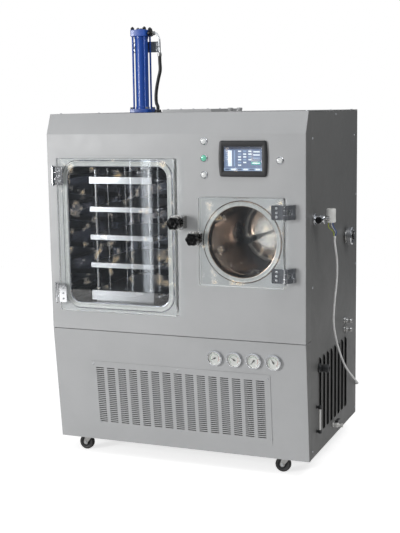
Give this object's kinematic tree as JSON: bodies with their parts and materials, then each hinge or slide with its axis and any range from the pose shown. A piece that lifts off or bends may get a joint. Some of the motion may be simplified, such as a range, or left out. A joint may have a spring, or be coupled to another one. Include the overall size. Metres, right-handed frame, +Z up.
{
  "type": "freeze dryer",
  "caption": "Floor-standing freeze dryer with a windowed shelf chamber, a round cold trap, a touch screen and a roof-mounted stoppering press, on casters.",
  "frame": {"origin": "on the floor under the centre of the box round all rigid pieces", "axes": "+X to the right of someone facing the doors, +Y from the doors to the rear, +Z up"},
  "size_m": [1.193, 0.9559, 1.7913],
  "materials": {
    "pale_paint": "pale grey powder coat with a fine even texture",
    "dark_paint": "dark grey powder coat",
    "frame_paint": "black paint on steel",
    "blue_paint": "glossy blue enamel",
    "stainless": "bright stainless steel",
    "fitting_steel": "zinc-plated steel",
    "chrome_plate": "polished chrome plate",
    "clear_acrylic": "thick clear acrylic with polished edges",
    "white_rubber": "soft white silicone",
    "black_plastic": "black moulded plastic",
    "white_plastic": "off-white moulded plastic",
    "green_lens": "green translucent button cap",
    "cable_sheath": "pale grey flexible sheath",
    "hose_rubber": "black hydraulic hose",
    "tread": "black caster wheel",
    "fins": "aluminium fins between steel end plates"
  },
  "bodies": {
    "cabinet": {"base_shelf": "stainless", "chamber_gasket": "white_rubber", "chassis": "frame_paint", "compressor": "frame_paint", "condenser": "fins", "cylinder_barrel": "blue_paint", "cylinder_head": "blue_paint", "drain_valve": "white_plastic", "drying_chamber": "stainless", "front_grille": "pale_paint", "front_lower_panel": "pale_paint", "front_upper_panel": "pale_paint", "gauge_1": "chrome_plate", "gauge_2": "chrome_plate", "gauge_3": "chrome_plate", "gauge_4": "chrome_plate", "hydraulic_unit": "blue_paint", "inlet_valve": "fitting_steel", "left_side_panel": "dark_paint", "press_hose": "hose_rubber", "rear_panel": "dark_paint", "right_side_panel": "dark_paint", "roof_panel": "dark_paint", "solenoid_coil": "white_plastic", "touch_screen": "black_plastic", "trap_centre_tube": "stainless", "trap_drum": "stainless", "trap_gasket": "white_rubber", "vacuum_port": "fitting_steel", "valve_cable": "cable_sheath", "vapour_duct": "stainless"},
    "chamber_door": {"chamber_door": "clear_acrylic", "chamber_hinge_leaf_upper": "chrome_plate", "chamber_hinge_leaf_lower": "chrome_plate", "chamber_latch_ear": "stainless"},
    "chamber_knob": {"chamber_latch_knob": "black_plastic"},
    "trap_door": {"trap_door": "clear_acrylic", "trap_hinge_leaf_upper": "chrome_plate", "trap_hinge_leaf_lower": "chrome_plate", "trap_latch_ear": "stainless"},
    "trap_knob": {"trap_latch_knob": "black_plastic"},
    "press_ram": {"ram_rod": "chrome_plate", "pressure_plate": "stainless"},
    "shelf_upper": {"shelf_upper": "stainless"},
    "shelf_middle": {"shelf_middle": "stainless"},
    "shelf_lower": {"shelf_lower": "stainless"},
    "button_white_upper": {"button_white_upper": "white_plastic"},
    "button_green": {"button_green": "green_lens"},
    "button_white_lower": {"button_white_lower": "white_plastic"},
    "button_white_side": {"button_white_side": "white_plastic"},
    "inlet_valve_knob": {"inlet_valve_knob": "black_plastic"},
    "drain_lever": {"drain_lever": "black_plastic"},
    "swivel_front_left": {"caster_fork_front_left": "frame_paint"},
    "wheel_front_left": {"caster_wheel_front_left": "tread"},
    "swivel_rear_left": {"caster_fork_rear_left": "frame_paint"},
    "wheel_rear_left": {"caster_wheel_rear_left": "tread"},
    "swivel_front_right": {"caster_fork_front_right": "frame_paint"},
    "wheel_front_right": {"caster_wheel_front_right": "tread"},
    "swivel_rear_right": {"caster_fork_rear_right": "frame_paint"},
    "wheel_rear_right": {"caster_wheel_rear_right": "tread"}
  },
  "joints": [
    {"name": "chamber_door_hinge", "type": "hinge", "parent": "cabinet", "child": "chamber_door", "pos_m": [-0.539, -0.4025, 0.95], "axis": [0, 0, -1], "range_deg": [0, 120]},
    {"name": "chamber_knob_turn", "type": "hinge", "parent": "chamber_door", "child": "chamber_knob", "pos_m": [0.0035, -0.4222, 1.014], "axis": [0, -1, 0], "continuous": true},
    {"name": "trap_door_hinge", "type": "hinge", "parent": "cabinet", "child": "trap_door", "pos_m": [0.448, -0.4025, 0.942], "axis": [0, 0, 1], "range_deg": [0, 120]},
    {"name": "trap_knob_turn", "type": "hinge", "parent": "trap_door", "child": "trap_knob", "pos_m": [0.0815, -0.4222, 0.954], "axis": [0, -1, 0], "continuous": true},
    {"name": "press_stroke", "type": "slide", "parent": "cabinet", "child": "press_ram", "axis": [0, 0, -1], "range_m": [0, 0.18]},
    {"name": "shelf_upper_drop", "type": "slide", "parent": "cabinet", "child": "shelf_upper", "axis": [0, 0, -1], "range_m": [0, 0.135]},
    {"name": "shelf_middle_drop", "type": "slide", "parent": "cabinet", "child": "shelf_middle", "axis": [0, 0, -1], "range_m": [0, 0.09]},
    {"name": "shelf_lower_drop", "type": "slide", "parent": "cabinet", "child": "shelf_lower", "axis": [0, 0, -1], "range_m": [0, 0.045]},
    {"name": "button_white_upper_press", "type": "slide", "parent": "cabinet", "child": "button_white_upper", "axis": [0, 1, 0], "range_m": [0, 0.003], "stiffness_N_per_m": 400, "springref_m": -0.001},
    {"name": "button_green_press", "type": "slide", "parent": "cabinet", "child": "button_green", "axis": [0, 1, 0], "range_m": [0, 0.003], "stiffness_N_per_m": 400, "springref_m": -0.001},
    {"name": "button_white_lower_press", "type": "slide", "parent": "cabinet", "child": "button_white_lower", "axis": [0, 1, 0], "range_m": [0, 0.003], "stiffness_N_per_m": 400, "springref_m": -0.001},
    {"name": "button_white_side_press", "type": "slide", "parent": "cabinet", "child": "button_white_side", "axis": [0, 1, 0], "range_m": [0, 0.003], "stiffness_N_per_m": 400, "springref_m": -0.001},
    {"name": "inlet_valve_turn", "type": "hinge", "parent": "cabinet", "child": "inlet_valve_knob", "pos_m": [0.5435, -0.2782, 1.025], "axis": [0, -1, 0], "continuous": true},
    {"name": "drain_lever_turn", "type": "hinge", "parent": "cabinet", "child": "drain_lever", "pos_m": [0.5335, 0.0378, 0.14], "axis": [0, 0, -1], "range_deg": [0, 90]},
    {"name": "swivel_turn_front_left", "type": "hinge", "parent": "cabinet", "child": "swivel_front_left", "pos_m": [-0.4805, -0.2522, 0.087], "axis": [0, 0, 1], "continuous": true},
    {"name": "wheel_roll_front_left", "type": "hinge", "parent": "swivel_front_left", "child": "wheel_front_left", "pos_m": [-0.5005, -0.2522, 0.0315], "axis": [0, 1, 0], "continuous": true},
    {"name": "swivel_turn_rear_left", "type": "hinge", "parent": "cabinet", "child": "swivel_rear_left", "pos_m": [-0.4805, 0.3278, 0.087], "axis": [0, 0, 1], "continuous": true},
    {"name": "wheel_roll_rear_left", "type": "hinge", "parent": "swivel_rear_left", "child": "wheel_rear_left", "pos_m": [-0.5005, 0.3278, 0.0315], "axis": [0, 1, 0], "continuous": true},
    {"name": "swivel_turn_front_right", "type": "hinge", "parent": "cabinet", "child": "swivel_front_right", "pos_m": [0.4095, -0.2522, 0.087], "axis": [0, 0, 1], "continuous": true},
    {"name": "wheel_roll_front_right", "type": "hinge", "parent": "swivel_front_right", "child": "wheel_front_right", "pos_m": [0.3895, -0.2522, 0.0315], "axis": [0, 1, 0], "continuous": true},
    {"name": "swivel_turn_rear_right", "type": "hinge", "parent": "cabinet", "child": "swivel_rear_right", "pos_m": [0.4095, 0.3278, 0.087], "axis": [0, 0, 1], "continuous": true},
    {"name": "wheel_roll_rear_right", "type": "hinge", "parent": "swivel_rear_right", "child": "wheel_rear_right", "pos_m": [0.3895, 0.3278, 0.0315], "axis": [0, 1, 0], "continuous": true}
  ],
  "couplings": [
    {"joint": "shelf_upper_drop", "follows": "press_stroke", "ratio": 0.75},
    {"joint": "shelf_middle_drop", "follows": "press_stroke", "ratio": 0.5},
    {"joint": "shelf_lower_drop", "follows": "press_stroke", "ratio": 0.25}
  ]
}
